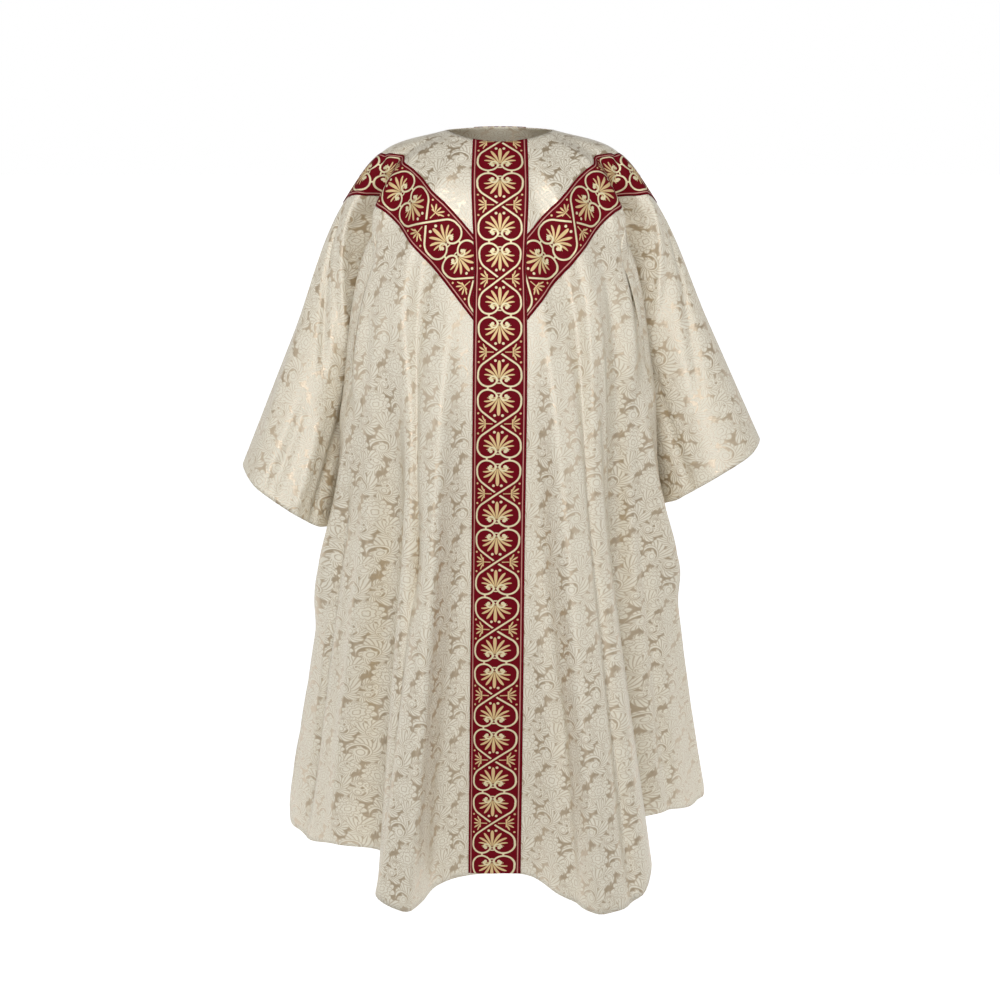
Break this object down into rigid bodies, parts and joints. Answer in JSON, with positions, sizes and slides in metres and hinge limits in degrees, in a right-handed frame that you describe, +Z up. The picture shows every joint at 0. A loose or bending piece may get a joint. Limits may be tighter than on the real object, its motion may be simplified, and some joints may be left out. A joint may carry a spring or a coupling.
{
  "type": "gothic chasuble",
  "caption": "Full gothic chasuble, worn shape: front and back panels seamed on the shoulders, open at the sides, with woven bands as a cross with raised arms.",
  "frame": {"origin": "middle of the neck opening at the height of the shoulder seams beside the neck, where the garment hangs from the wearer", "axes": "+Z up, -Y towards the front, +X to the right of a viewer who faces the front"},
  "size_m": [0.8708, 0.53, 1.2896],
  "materials": {
    "damask": "cream and tan silk-look damask, satin figure on a duller ground",
    "band_weave": "crimson woven band with pale gold scrolls, low sheen"
  },
  "bodies": {
    "root": {"front_panel": "damask", "back_panel": "damask", "front_orphrey": "band_weave", "front_slant_left": "band_weave", "front_slant_right": "band_weave", "back_orphrey": "band_weave", "back_slant_left": "band_weave", "back_slant_right": "band_weave"}
  },
  "joints": []
}
